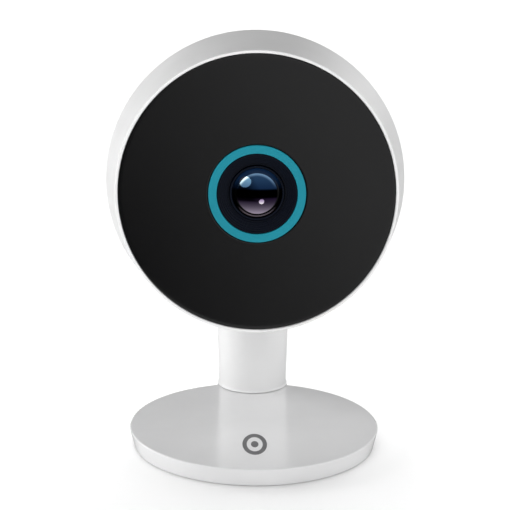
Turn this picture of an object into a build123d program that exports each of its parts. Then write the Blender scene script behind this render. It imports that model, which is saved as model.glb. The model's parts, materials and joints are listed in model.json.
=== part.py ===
from build123d import *
import math
import os

# A tabletop Wi-Fi security camera: a round, slightly conical camera head with a domed black
# face and a wide-angle lens, hinged to a round post that stands on the rear edge of a thin
# weighted disc. Millimetres, +Z up, -Y is the way the camera looks, and the origin is on the
# table under the centre of the base disc. The head is drawn where it rests, tipped up a little.

# ---------------------------------------------------------------------------------------
# Driving sizes
# ---------------------------------------------------------------------------------------

# Base disc
base_radius = 32.0
base_taper = 1.1  # how much narrower the disc is at the bottom
base_height = 4.75
base_top_wall = 1.55
base_side_wall = 1.6
base_lift = 0.2  # the skirt stays this far off the table, and the pad carries the load
base_edge_round = 0.35
weight_thickness = 2.0
weight_gap = 0.15
pad_gap = 0.25
pad_edge = 0.2
stake_radius = 1.25
stake_circle = 21.0
stake_count = 4
stake_share = 0.8  # how much of the plate's thickness a stake fills

# Badge inlaid in the base
badge_outer = (3.1, 7.3)  # half sizes of each oval, across and along
badge_inner = (2.0, 4.9)
badge_dot = (0.95, 2.2)
badge_depth = 0.15
badge_inset = 17.3  # from the front edge of the disc to the badge's centre

# Post
post_overhang = 0.4  # how far the post's axis stands behind the edge of the disc
post_foot_radius = 9.45
post_bottom_radius = 9.1
post_top_radius = 9.8
post_foot_height = 0.9
foot_seam_height = 0.2  # shadow line between the post's foot and the disc
foot_seam_depth = 0.5
post_edge_round = 0.8
post_bore_radius = 6.6
post_bore_height = 22.0
post_pillar_radius = 2.4
post_screw_x = 4.0

# Hinge at the top of the post
pin_z = 43.0
knuckle_radius = 8.5
tongue_half_width = 4.4
ear_gap = 0.3  # between the post's tongue and each ear of the head
ear_thickness = 4.3
ear_edge_round = 0.8
ear_root_radius = 6.5
ear_root_rise = 3.5
hinge_swing_gap = 0.5
pin_radius = 2.0
pin_run = 0.05  # radial running clearance of the pin in its bush
pin_hold = 0.02  # radial clearance of the pin where the ears grip it
bush_wall = 1.0
washer_wall = 3.6
washer_thickness = 0.6
washer_gap = 0.1
cap_overlap = 2.4
cap_thickness = 1.0
cap_gap = 0.1

# Head
rest_tilt = 6.2  # degrees the head looks up at rest
pin_behind = 3.18  # free gap between the knuckle and the rear cover
pin_above_bottom = 17.44  # height of the pin above the lowest edge of the shell
shell_depth = 26.0
shell_flare = 3.6  # how much wider the shell is behind than in front
shell_wall = 1.8
rim_width = 0.7
rim_edge_round = 0.25
panel_radius = 34.0
panel_gap = 0.1
panel_crown = 2.3
panel_thickness = 1.6
panel_recess = 0.1
panel_pad_width = 3.0
ledge_width = 2.5
ledge_thickness = 1.5
tape_thickness = 0.2
tape_width = 1.7

# Rear cover
seam_gap = 0.25
cover_edge_depth = 2.6
cover_edge_inset = 2.1
cover_edge_round = 1.2
cover_crown = 5.4
cover_wall = 1.8
spigot_length = 1.5
spigot_wall = 1.1
spigot_gap = 0.4
boss_inset = 4.2  # from the board's edge to the boss centres
boss_radius = 3.0
boss_count = 4
boss_front = -8.0
boss_hole_depth = 10.0
rib_thickness = 1.6
tube_radius = 3.6

# Screws: a plain shank for each thread
cover_screw_radius = 1.1
cover_screw_length = 12.0
cover_head_radius = 2.1
cover_head_height = 1.5
small_screw_radius = 0.8
small_screw_length = 4.2
small_head_radius = 1.6
small_head_height = 1.1
small_hole_depth = 3.0
post_screw_radius = 1.2
post_screw_length = 9.0
post_screw_head_radius = 2.3
screw_fit = 0.03
screw_pass = 0.2
recess_length = 0.6  # share of a screw head's diameter
recess_width = 0.5
recess_depth = 0.7

# Lens and its surround
ring_outer_radius = 11.93
ring_width = 2.03
ring_gap = 0.12
ring_front = 2.05
bezel_flange_width = 2.45
bezel_flange_thickness = 1.1
bezel_front = 1.85
bezel_lip = 0.4
bezel_steps = 4
bezel_step_drop = 0.55
barrel_radius = 6.7
barrel_gap = 0.25
barrel_front = 0.5
barrel_shoulder = -3.0
thread_radius = 6.0
barrel_rear = -13.0
glass_radius = 6.2
glass_seat = -1.5
glass_curve = 9.0
glass_hollow_radius = 4.2
glass_hollow_depth = 2.0
lens_bore_radius = 4.6
inner_glass_edge = 1.2
inner_glass_bulge = 0.7
middle_glass_front = -4.2
rear_glass_front = -9.2
aperture_radius = 1.6
spacer_wall = 0.3
spacer_recess = 1.4
nested_gap = 0.05

# Lens holder, filter and sensor
holder_front = -3.3
holder_tube_radius = 8.2
holder_width = 28.0
holder_height = 16.0
holder_flange_front = -13.0
holder_flange_thickness = 4.0
filter_wall = 1.0
filter_pitch = 6.5
filter_length = 13.4
filter_height = 7.6
filter_thickness = 0.8
filter_window = 5.6
filter_slot_gap = 0.3
filter_run = 0.15
guide_front = -15.2
guide_thickness = 0.5
guide_opening = (6.6, 5.2)
coil_size = (4.8, 8.0, 4.2)
coil_edge_gap = 0.4
sensor_size = (7.6, 6.2, 1.0)
sensor_board_size = (30.0, 29.0, 1.2)
sensor_post_y = 11.8
sensor_post_radius = 2.2
holder_screw_at = (12.2, 6.2)

# Carrier and infrared lamps
carrier_front = -6.0
carrier_thickness = 2.0
carrier_gap = 1.0
lug_count = 3
lug_gap = 0.8
lug_radius = 2.4
lamp_board_thickness = 1.2
lamp_board_edge = 0.5
lamp_count = 6
lamp_size = 3.2
lamp_height = 1.0
lamp_dome_radius = 1.3
seal_edge = 0.3
seal_width = 1.8

# Main board and what stands on it
board_inset = 2.0  # from the shell's rear edge forward to the board
board_thickness = 1.2
board_gap = 2.1
chip_at = (0.0, 4.0)
chip_size = (14.0, 14.0, 1.4)
thermal_pad_size = (12.0, 12.0, 0.6)
spreader_size = (34.0, 26.0, 1.0)
usb_at = (0.0, 6.0)
usb_size = (7.6, 2.9)
usb_wall = 0.3
usb_recess = 0.3
usb_base = 1.6
usb_cover_gap = 0.3
tongue_size = (4.6, 0.7)
button_at = (13.5, 6.0)
button_radius = 1.9
button_gap = 0.15
button_travel = 0.4
button_proud = 0.15
button_flange_radius = 2.9
button_flange_thickness = 0.8
button_stem_radius = 1.1
button_pad_radius = 4.2
button_pad_thickness = 2.4
switch_size = 4.6
switch_height = 3.0
plunger_radius = 1.2
plunger_stand = 0.5
plunger_length = 1.2
plunger_run = 0.05
speaker_inset = 14.2  # from the board's edge to the speaker's centre
speaker_radius = 8.0
speaker_thickness = 3.5
slot_count = 5
slot_pitch = 2.6
slot_width = 1.2
card_socket_size = (14.0, 14.5, 1.5)
card_socket_wall = 0.25
card_slot = (12.2, 1.5)
card_inset = 1.2
antenna_size = (24.0, 0.6, 6.0)
antenna_inset = 6.9
ribbon_size = (9.0, 0.3)
ribbon_up = -13.9
wire_radius = 0.55
wire_up = -10.0
wire_pitch = 1.8

# ---------------------------------------------------------------------------------------
# Places worked out from the sizes
# ---------------------------------------------------------------------------------------

tilt = math.radians(rest_tilt)
forward = Vector(0, -math.cos(tilt), math.sin(tilt))
upward = Vector(0, math.sin(tilt), math.cos(tilt))
post_y = base_radius + post_overhang

opening_radius = panel_radius + panel_gap
rim_radius = opening_radius + rim_width
shell_rear_radius = rim_radius + shell_flare
cover_front = -shell_depth - seam_gap
cover_rim_radius = shell_rear_radius - 0.05
dome_radius = cover_rim_radius - cover_edge_inset
dome_edge = cover_front - cover_edge_depth
dome_apex = dome_edge - cover_crown
dome_curve = (dome_radius**2 + cover_crown**2) / (2 * cover_crown)

# The head hangs on the pin: distances in front of the rim and up from the head's axis.
pin_place = (dome_apex - pin_behind - knuckle_radius, pin_above_bottom - shell_rear_radius)
face_centre = Vector(0, post_y, pin_z) - forward * pin_place[0] - upward * pin_place[1]

# HEAD is the plane of the front rim: x to the right, y up the face, z out of the face.
HEAD = Plane(origin=face_centre, x_dir=(1, 0, 0), z_dir=forward)
# SECTION holds turned profiles: x is the radius and y is the distance in front of the rim.
SECTION = Plane(origin=face_centre, x_dir=(1, 0, 0), z_dir=-upward)
# SIDE holds side profiles: x is the distance in front of the rim and y is up the face.
SIDE = Plane(origin=face_centre, x_dir=forward, z_dir=(-1, 0, 0))
HEAD_AXIS = Axis(face_centre, forward)

base_bottom_radius = base_radius - base_taper
badge_y = badge_inset - base_radius
weight_top = base_height - base_top_wall
pad_top = weight_top - weight_thickness
cavity_radius = base_bottom_radius - base_side_wall
lobe_radius = post_foot_radius - base_side_wall
post_shoulder = pin_z - knuckle_radius - hinge_swing_gap
post_screw_places = [(-post_screw_x, post_y), (post_screw_x, post_y)]
washer_pocket = washer_thickness - ear_gap + washer_gap
washer_radius = pin_radius + washer_wall
cap_radius = pin_radius + cap_overlap
ear_inner = tongue_half_width + ear_gap
ear_outer = ear_inner + ear_thickness

panel_apex = panel_crown - panel_recess
panel_rear = -panel_recess - panel_thickness
ledge_front = panel_rear - tape_thickness
ledge_rear = ledge_front - ledge_thickness
panel_land = opening_radius - ledge_width

spigot_outer = shell_rear_radius - shell_wall - spigot_gap
board_front = board_inset - shell_depth
board_rear = board_front - board_thickness
screw_seat = board_rear - 2.6
carrier_rear = carrier_front - carrier_thickness
lamp_board_front = carrier_front + lamp_board_thickness
holder_rear = holder_flange_front - holder_flange_thickness
sensor_board_rear = holder_rear - sensor_board_size[2]
filter_front = holder_flange_front - filter_wall - filter_run
slot_half = (filter_length + filter_pitch) / 2 + filter_slot_gap
ring_seat_radius = ring_outer_radius + ring_gap
ring_inner_radius = ring_outer_radius - ring_width
sensor_post_places = [(0, -sensor_post_y), (0, sensor_post_y)]
holder_screw_places = [holder_screw_at, (-holder_screw_at[0], -holder_screw_at[1])]


def ahead(distance):
    """The plane parallel to the face, this far in front of the rim."""
    return HEAD.offset(distance)


def shell_radius(distance):
    """Outer radius of the conical shell, this far in front of the rim."""
    share = -distance / shell_depth
    return rim_radius + (shell_rear_radius - rim_radius) * share


def dome_outside(radius):
    """How far in front of the rim the rear cover's outside lies, at this radius."""
    return dome_apex + dome_curve - math.sqrt(dome_curve**2 - radius**2)


def dome_inside(radius):
    """The same for the rear cover's inside."""
    return dome_apex + dome_curve - math.sqrt((dome_curve - cover_wall) ** 2 - radius**2)


def cap_height(radius, edge_radius, crown):
    """Height of a shallow dome above its edge plane, at this radius."""
    curve = (edge_radius**2 + crown**2) / (2 * crown)
    return math.sqrt(curve**2 - radius**2) - (curve - crown)


board_radius = shell_radius(board_front) - shell_wall - board_gap
boss_circle = board_radius - boss_inset
speaker_at = (0, board_radius - speaker_inset)
card_mouth = card_inset - board_radius
antenna_up = board_radius - antenna_inset
carrier_radius = boss_circle - boss_radius - carrier_gap
lug_circle = shell_radius(carrier_front) - shell_wall - lug_radius - lug_gap
bezel_flange_radius = ring_seat_radius + bezel_flange_width
seal_outer = bezel_flange_radius - seal_edge
seal_inner = seal_outer - seal_width
lamp_board_outer = carrier_radius - lamp_board_edge
lamp_board_inner = seal_inner - lamp_board_edge
lamp_circle = (lamp_board_outer + lamp_board_inner) / 2
wire_places = [(lamp_circle, wire_up), (lamp_circle, wire_up - wire_pitch)]
button_pad_face = dome_outside(math.hypot(*button_at)) + button_pad_thickness

finished = []


def keep(builder, name):
    """Labels a finished piece and puts it on the list that is written out."""
    builder.part.label = name
    finished.append(builder.part)


# ---------------------------------------------------------------------------------------
# Base
# ---------------------------------------------------------------------------------------

with BuildPart() as base_cover:
    with BuildSketch(Plane.XZ):
        with BuildLine():
            Polyline(
                (0, base_lift),
                (base_bottom_radius, base_lift),
                (base_radius, base_height),
                (0, base_height),
                close=True,
            )
        make_face()
    revolve(axis=Axis.Z)
    fillet(base_cover.faces().sort_by(Axis.Z)[-1].edges(), base_edge_round)
    with BuildSketch(Plane.XY.offset(base_lift)):
        with Locations((0, post_y)):
            Circle(post_foot_radius)
    extrude(amount=base_height - base_lift)
    with BuildSketch(Plane.XY.offset(base_lift)):
        Circle(cavity_radius)
        with Locations((0, post_y)):
            Circle(lobe_radius)
    extrude(amount=weight_top - base_lift, mode=Mode.SUBTRACT)
    # Stakes that are melted over to hold the steel plate
    with BuildSketch(Plane.XY.offset(weight_top)):
        with PolarLocations(stake_circle, stake_count, start_angle=45):
            Circle(stake_radius)
    extrude(amount=-weight_thickness * stake_share)
    with BuildSketch(Plane.XY.offset(weight_top)):
        with Locations(*post_screw_places):
            Circle(post_screw_radius + screw_pass)
    extrude(amount=base_top_wall, mode=Mode.SUBTRACT)
    # A shallow pocket for the badge
    with BuildSketch(Plane.XY.offset(base_height)):
        with Locations((0, badge_y)):
            Ellipse(*badge_outer)
            Ellipse(*badge_inner, mode=Mode.SUBTRACT)
            Ellipse(*badge_dot)
    extrude(amount=-badge_depth, mode=Mode.SUBTRACT)
keep(base_cover, "base_cover")

with BuildPart() as base_badge:
    with BuildSketch(Plane.XY.offset(base_height)):
        with Locations((0, badge_y)):
            Ellipse(*badge_outer)
            Ellipse(*badge_inner, mode=Mode.SUBTRACT)
            Ellipse(*badge_dot)
    extrude(amount=-badge_depth)
keep(base_badge, "base_badge")

with BuildPart() as base_weight:
    with BuildSketch(Plane.XY.offset(pad_top)):
        Circle(cavity_radius - weight_gap)
        with Locations((0, post_y)):
            Circle(lobe_radius - weight_gap)
        with PolarLocations(stake_circle, stake_count, start_angle=45):
            Circle(stake_radius + nested_gap, mode=Mode.SUBTRACT)
        with Locations(*post_screw_places):
            Circle(post_screw_radius + screw_pass, mode=Mode.SUBTRACT)
    extrude(amount=weight_thickness)
    # Countersinks for the two screws of the post
    with BuildSketch(Plane.XY.offset(pad_top)):
        with Locations(*post_screw_places):
            Circle(post_screw_head_radius + screw_fit)
    extrude(
        amount=post_screw_head_radius + screw_fit - post_screw_radius - screw_pass,
        taper=45,
        mode=Mode.SUBTRACT,
    )
keep(base_weight, "base_weight")

with BuildPart() as base_pad:
    with BuildSketch():
        Circle(cavity_radius - pad_gap)
        with Locations((0, post_y)):
            Circle(lobe_radius - pad_gap)
    extrude(amount=pad_top)
    chamfer(base_pad.faces().sort_by(Axis.Z)[0].edges(), pad_edge)
keep(base_pad, "base_pad")

with BuildPart() as neck_screws:
    with BuildSketch(Plane.XY.offset(pad_top)):
        with Locations(*post_screw_places):
            Circle(post_screw_head_radius)
    extrude(amount=post_screw_head_radius - post_screw_radius, taper=45)
    with BuildSketch(Plane.XY.offset(pad_top)):
        with Locations(*post_screw_places):
            Circle(post_screw_radius)
    extrude(amount=post_screw_length)
    with BuildSketch(Plane.XY.offset(pad_top)):
        with Locations(*post_screw_places):
            Rectangle(2 * recess_length * post_screw_head_radius, recess_width)
            Rectangle(recess_width, 2 * recess_length * post_screw_head_radius)
    extrude(amount=recess_depth, mode=Mode.SUBTRACT)
keep(neck_screws, "neck_screws")

# ---------------------------------------------------------------------------------------
# Post and hinge
# ---------------------------------------------------------------------------------------

with BuildPart() as neck_post:
    foot_bottom = base_height + foot_seam_height
    foot_top = base_height + post_foot_height
    seam_radius = post_foot_radius - foot_seam_depth
    with BuildSketch(Plane((0, post_y, 0), x_dir=(1, 0, 0), z_dir=(0, -1, 0))):
        with BuildLine():
            Polyline(
                (0, base_height),
                (seam_radius, base_height),
                (seam_radius, foot_bottom),
                (post_foot_radius, foot_bottom),
            )
            ThreePointArc(
                (post_foot_radius, foot_bottom),
                (
                    post_bottom_radius + 0.3 * (post_foot_radius - post_bottom_radius),
                    foot_bottom + 0.35 * (foot_top - foot_bottom),
                ),
                (post_bottom_radius, foot_top),
            )
            Line((post_bottom_radius, foot_top), (post_top_radius, post_shoulder))
            Line((post_top_radius, post_shoulder), (0, post_shoulder))
            Line((0, post_shoulder), (0, base_height))
        make_face()
    revolve(axis=Axis((0, post_y, 0), (0, 0, 1)))
    fillet(neck_post.faces().sort_by(Axis.Z)[-1].edges(), post_edge_round)
    # Tongue with a round head for the hinge
    with BuildSketch(Plane.YZ):
        with Locations((post_y, pin_z)):
            Circle(knuckle_radius)
        with Locations((post_y, (pin_z + post_shoulder) / 2)):
            Rectangle(2 * knuckle_radius, pin_z - post_shoulder)
    extrude(amount=tongue_half_width, both=True)
    # Hollow, with two pillars for the screws
    with BuildSketch(Plane.XY.offset(base_height)):
        with Locations((0, post_y)):
            Circle(post_bore_radius)
        with Locations(*post_screw_places):
            Circle(post_pillar_radius, mode=Mode.SUBTRACT)
    extrude(amount=post_bore_height, mode=Mode.SUBTRACT)
    with BuildSketch(Plane.XY.offset(base_height)):
        with Locations(*post_screw_places):
            Circle(post_screw_radius + screw_fit)
    extrude(amount=post_screw_length, mode=Mode.SUBTRACT)
    # Bore for the bush, and a pocket for a washer on each side
    with BuildSketch(Plane.YZ):
        with Locations((post_y, pin_z)):
            Circle(pin_radius + pin_run + bush_wall + nested_gap)
    extrude(amount=tongue_half_width, both=True, mode=Mode.SUBTRACT)
    with BuildSketch(Plane.YZ.offset(tongue_half_width), Plane.YZ.offset(-tongue_half_width)):
        with Locations((post_y, pin_z)):
            Circle(washer_radius + washer_gap)
    extrude(amount=washer_pocket, both=True, mode=Mode.SUBTRACT)
keep(neck_post, "neck_post")

with BuildPart() as hinge_bush:
    with BuildSketch(Plane.YZ):
        with Locations((post_y, pin_z)):
            Circle(pin_radius + pin_run + bush_wall)
            Circle(pin_radius + pin_run, mode=Mode.SUBTRACT)
    extrude(amount=tongue_half_width - washer_pocket - nested_gap, both=True)
keep(hinge_bush, "hinge_bush")

with BuildPart() as hinge_washers:
    for side in (-1, 1):
        with BuildSketch(Plane.YZ.offset(side * (tongue_half_width - washer_pocket))):
            with Locations((post_y, pin_z)):
                Circle(washer_radius)
                Circle(pin_radius + pin_run + nested_gap, mode=Mode.SUBTRACT)
        extrude(amount=side * washer_thickness)
keep(hinge_washers, "hinge_washers")

with BuildPart() as hinge_pin:
    with BuildSketch(Plane.YZ):
        with Locations((post_y, pin_z)):
            Circle(pin_radius)
    extrude(amount=ear_outer - cap_thickness, both=True)
keep(hinge_pin, "hinge_pin")

with BuildPart() as hinge_caps:
    for side in (-1, 1):
        with BuildSketch(Plane.YZ.offset(side * ear_outer)):
            with Locations((post_y, pin_z)):
                Circle(cap_radius)
        extrude(amount=-side * cap_thickness)
keep(hinge_caps, "hinge_caps")

# ---------------------------------------------------------------------------------------
# Head shell and rear cover
# ---------------------------------------------------------------------------------------

with BuildPart() as shell_hollow:
    with BuildSketch(SECTION):
        with BuildLine():
            Polyline(
                (0, ledge_rear),
                (shell_radius(ledge_rear) - shell_wall, ledge_rear),
                (shell_rear_radius - shell_wall, -shell_depth),
                (0, -shell_depth),
                close=True,
            )
        make_face()
    revolve(axis=HEAD_AXIS)
    # Left standing in the hollow: bosses with ribs to the wall, and three carrier bosses
    with BuildSketch(ahead(board_front)):
        with PolarLocations(boss_circle, boss_count, start_angle=45):
            Circle(boss_radius)
            with Locations((boss_radius + 2, 0)):
                Rectangle(2 * boss_radius + 4, rib_thickness)
    extrude(amount=boss_front - board_front, mode=Mode.SUBTRACT)
    with BuildSketch(ahead(carrier_front)):
        with PolarLocations(lug_circle, lug_count, start_angle=90):
            Circle(lug_radius)
    extrude(amount=ledge_rear - carrier_front, mode=Mode.SUBTRACT)

with BuildPart() as head_shell:
    with BuildSketch(SECTION):
        with BuildLine():
            Polyline(
                (0, 0),
                (rim_radius, 0),
                (shell_rear_radius, -shell_depth),
                (0, -shell_depth),
                close=True,
            )
        make_face()
    revolve(axis=HEAD_AXIS)
    with BuildSketch(HEAD):
        Circle(opening_radius)
    extrude(amount=ledge_front, mode=Mode.SUBTRACT)
    fillet(head_shell.faces().sort_by(HEAD_AXIS)[-1].edges(), rim_edge_round)
    with BuildSketch(ahead(ledge_front)):
        Circle(panel_land)
        with PolarLocations(lug_circle, lug_count, start_angle=90):
            Circle(lug_radius, mode=Mode.SUBTRACT)
    extrude(amount=-ledge_thickness, mode=Mode.SUBTRACT)
    add(shell_hollow.part, mode=Mode.SUBTRACT)
    # Screw holes
    with BuildSketch(ahead(board_front)):
        with PolarLocations(boss_circle, boss_count, start_angle=45):
            Circle(cover_screw_radius + screw_fit)
    extrude(amount=boss_hole_depth, mode=Mode.SUBTRACT)
    with BuildSketch(ahead(carrier_front)):
        with PolarLocations(lug_circle, lug_count, start_angle=90):
            Circle(small_screw_radius + screw_fit)
    extrude(amount=small_hole_depth, mode=Mode.SUBTRACT)
    # Slot in the underside for a memory card
    card_plane = Plane(
        face_centre + forward * (board_front + card_socket_size[2] / 2),
        x_dir=(1, 0, 0),
        z_dir=-upward,
    )
    with BuildSketch(card_plane.offset(-card_mouth + 0.5)):
        RectangleRounded(card_slot[0], card_slot[1], 0.4)
    extrude(amount=shell_rear_radius + card_mouth, mode=Mode.SUBTRACT)
keep(head_shell, "head_shell")

with BuildPart() as cover_hollow:
    with BuildSketch(SECTION):
        with BuildLine():
            inner_wall = dome_radius - cover_wall
            Polyline(
                (0, dome_inside(0)),
                (0, cover_front + 4),
                (spigot_outer - spigot_wall, cover_front + 4),
                (spigot_outer - spigot_wall, cover_front),
                (inner_wall, dome_inside(inner_wall)),
            )
            ThreePointArc(
                (inner_wall, dome_inside(inner_wall)),
                (inner_wall / 2, dome_inside(inner_wall / 2)),
                (0, dome_inside(0)),
            )
        make_face()
    revolve(axis=HEAD_AXIS)
    # Left standing in the hollow: the tubes for the screws and the pad round the button
    with BuildSketch(ahead(dome_apex)):
        with PolarLocations(boss_circle, boss_count, start_angle=45):
            Circle(tube_radius)
    extrude(amount=board_rear - dome_apex, mode=Mode.SUBTRACT)
    with BuildSketch(ahead(dome_apex)):
        with Locations(button_at):
            Circle(button_pad_radius)
    extrude(amount=button_pad_face - dome_apex, mode=Mode.SUBTRACT)

with BuildPart() as rear_cover:
    # The two ears of the hinge
    with BuildSketch(SIDE):
        with Locations(pin_place):
            Circle(knuckle_radius)
        with Locations((dome_outside(0) + 4, pin_place[1] + ear_root_rise)):
            Circle(ear_root_radius)
        make_hull()
    extrude(amount=ear_outer, both=True)
    fillet(rear_cover.faces().sort_by(Axis.X)[0].edges(), ear_edge_round)
    fillet(rear_cover.faces().sort_by(Axis.X)[-1].edges(), ear_edge_round)
    with BuildSketch(SIDE):
        with Locations(pin_place):
            Circle(4 * knuckle_radius)
    extrude(amount=ear_inner, both=True, mode=Mode.SUBTRACT)
    with BuildSketch(SIDE):
        with Locations(pin_place):
            Circle(pin_radius + pin_hold)
    extrude(amount=ear_outer, both=True, mode=Mode.SUBTRACT)
    for side in (-1, 1):
        with BuildSketch(SIDE.offset(side * ear_outer)):
            with Locations(pin_place):
                Circle(cap_radius + cap_gap)
        extrude(amount=-side * cap_thickness, mode=Mode.SUBTRACT)
    # The dome itself
    with BuildSketch(SECTION):
        with BuildLine():
            Polyline(
                (0, dome_apex),
                (0, cover_front),
                (cover_rim_radius, cover_front),
                (dome_radius, dome_edge),
            )
            ThreePointArc(
                (dome_radius, dome_edge),
                (dome_radius / 2, dome_outside(dome_radius / 2)),
                (0, dome_apex),
            )
        make_face()
        fillet(vertices().filter_by(lambda v: abs(v.Y - dome_edge) < 0.01), cover_edge_round)
    revolve(axis=HEAD_AXIS)
    with BuildSketch(ahead(cover_front)):
        Circle(spigot_outer)
    extrude(amount=spigot_length)
    add(cover_hollow.part, mode=Mode.SUBTRACT)
    # Screw holes and counterbores
    with BuildSketch(ahead(dome_apex)):
        with PolarLocations(boss_circle, boss_count, start_angle=45):
            Circle(cover_screw_radius + screw_pass)
    extrude(amount=board_rear - dome_apex, mode=Mode.SUBTRACT)
    with BuildSketch(ahead(screw_seat)):
        with PolarLocations(boss_circle, boss_count, start_angle=45):
            Circle(cover_head_radius + screw_pass)
    extrude(amount=dome_apex - screw_seat, mode=Mode.SUBTRACT)
    # Openings for the socket, the button and the speaker
    with BuildSketch(ahead(dome_apex)):
        with Locations(usb_at):
            RectangleRounded(usb_size[0] + 2 * usb_cover_gap, usb_size[1] + 2 * usb_cover_gap, 0.8)
        with Locations(button_at):
            Circle(button_radius + button_gap)
        for row in range(slot_count):
            rise = (row - (slot_count - 1) / 2) * slot_pitch
            with Locations((speaker_at[0], speaker_at[1] + rise)):
                SlotOverall(2 * math.sqrt((speaker_radius - 1) ** 2 - rise**2), slot_width)
    extrude(amount=button_pad_face - dome_apex + 1, mode=Mode.SUBTRACT)
keep(rear_cover, "rear_cover")

with BuildPart() as cover_screws:
    with BuildSketch(ahead(screw_seat)):
        with PolarLocations(boss_circle, boss_count, start_angle=45):
            Circle(cover_head_radius)
    extrude(amount=-cover_head_height)
    with BuildSketch(ahead(screw_seat)):
        with PolarLocations(boss_circle, boss_count, start_angle=45):
            Circle(cover_screw_radius)
    extrude(amount=cover_screw_length)
    with BuildSketch(ahead(screw_seat - cover_head_height)):
        with PolarLocations(boss_circle, boss_count, start_angle=45):
            Rectangle(2 * recess_length * cover_head_radius, recess_width)
            Rectangle(recess_width, 2 * recess_length * cover_head_radius)
    extrude(amount=recess_depth, mode=Mode.SUBTRACT)
keep(cover_screws, "cover_screws")

# ---------------------------------------------------------------------------------------
# Face: panel, ring and lens surround
# ---------------------------------------------------------------------------------------

with BuildPart() as face_panel:
    with BuildSketch(SECTION):
        with BuildLine():
            Polyline(
                (0, panel_rear + panel_crown),
                (0, panel_apex),
            )
            ThreePointArc(
                (0, panel_apex),
                (
                    panel_radius / 2,
                    cap_height(panel_radius / 2, panel_radius, panel_crown) - panel_recess,
                ),
                (panel_radius, -panel_recess),
            )
            Polyline(
                (panel_radius, -panel_recess),
                (panel_radius, panel_rear),
                (panel_land, panel_rear),
            )
            ThreePointArc(
                (panel_land, panel_rear),
                (panel_land / 2, panel_rear + cap_height(panel_land / 2, panel_land, panel_crown)),
                (0, panel_rear + panel_crown),
            )
        make_face()
    revolve(axis=HEAD_AXIS)
    # A flat pad behind, for the flange of the lens surround
    with BuildSketch(HEAD):
        Circle(ring_seat_radius + panel_pad_width)
    extrude(amount=panel_apex / 2)
    with BuildSketch(HEAD):
        Circle(ring_seat_radius)
    extrude(amount=panel_apex, mode=Mode.SUBTRACT)
    # Clears the flange when it is wide enough to reach the dome's rear side
    with BuildSketch(HEAD):
        Circle(bezel_flange_radius + nested_gap)
    extrude(amount=panel_rear, mode=Mode.SUBTRACT)
keep(face_panel, "face_panel")

with BuildPart() as panel_tape:
    with BuildSketch(ahead(ledge_front)):
        Circle(panel_radius - nested_gap)
        Circle(panel_radius - nested_gap - tape_width, mode=Mode.SUBTRACT)
    extrude(amount=tape_thickness)
keep(panel_tape, "panel_tape")

with BuildPart() as accent_ring:
    with BuildSketch(HEAD):
        Circle(ring_outer_radius)
        Circle(ring_inner_radius, mode=Mode.SUBTRACT)
    extrude(amount=ring_front)
    fillet(accent_ring.faces().sort_by(HEAD_AXIS)[-1].edges(), 0.1)
keep(accent_ring, "accent_ring")

with BuildPart() as lens_bezel:
    hub_radius = ring_inner_radius - ring_gap
    stair_top = hub_radius - bezel_lip
    stair_run = (stair_top - barrel_radius - barrel_gap) / bezel_steps
    stairs = []
    for step in range(bezel_steps + 1):
        stairs.append((stair_top - stair_run * step, bezel_front - bezel_step_drop * step))
        if step < bezel_steps:
            stairs.append((stair_top - stair_run * step, bezel_front - bezel_step_drop * (step + 1)))
    with BuildSketch(SECTION):
        with BuildLine():
            Polyline(
                (bezel_flange_radius, 0),
                (hub_radius, 0),
                (hub_radius, bezel_front),
                *stairs,
                (barrel_radius + barrel_gap, -bezel_flange_thickness),
                (bezel_flange_radius, -bezel_flange_thickness),
                close=True,
            )
        make_face()
    revolve(axis=HEAD_AXIS)
keep(lens_bezel, "lens_bezel")

# ---------------------------------------------------------------------------------------
# Lens
# ---------------------------------------------------------------------------------------

with BuildPart() as lens_barrel:
    with BuildSketch(SECTION):
        with BuildLine():
            Polyline(
                (glass_radius, barrel_front),
                (barrel_radius, barrel_front),
                (barrel_radius, barrel_shoulder),
                (thread_radius, barrel_shoulder),
                (thread_radius, barrel_rear),
                (lens_bore_radius, barrel_rear),
                (lens_bore_radius, glass_seat),
                (glass_radius, glass_seat),
                close=True,
            )
        make_face()
    revolve(axis=HEAD_AXIS)
keep(lens_barrel, "lens_barrel")

with BuildPart() as front_glass:
    edge_radius = glass_radius - nested_gap
    bulge = glass_curve - math.sqrt(glass_curve**2 - edge_radius**2)
    half_bulge = math.sqrt(glass_curve**2 - edge_radius**2 / 4) - glass_curve + bulge
    edge_front = barrel_front - 0.4
    with BuildSketch(SECTION):
        with BuildLine():
            Line((0, glass_seat + glass_hollow_depth), (0, edge_front + bulge))
            ThreePointArc(
                (0, edge_front + bulge),
                (edge_radius / 2, edge_front + half_bulge),
                (edge_radius, edge_front),
            )
            Polyline(
                (edge_radius, edge_front),
                (edge_radius, glass_seat),
                (glass_hollow_radius, glass_seat),
            )
            ThreePointArc(
                (glass_hollow_radius, glass_seat),
                (
                    glass_hollow_radius / 2,
                    glass_seat
                    + cap_height(glass_hollow_radius / 2, glass_hollow_radius, glass_hollow_depth),
                ),
                (0, glass_seat + glass_hollow_depth),
            )
        make_face()
    revolve(axis=HEAD_AXIS)
keep(front_glass, "front_glass")

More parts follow.
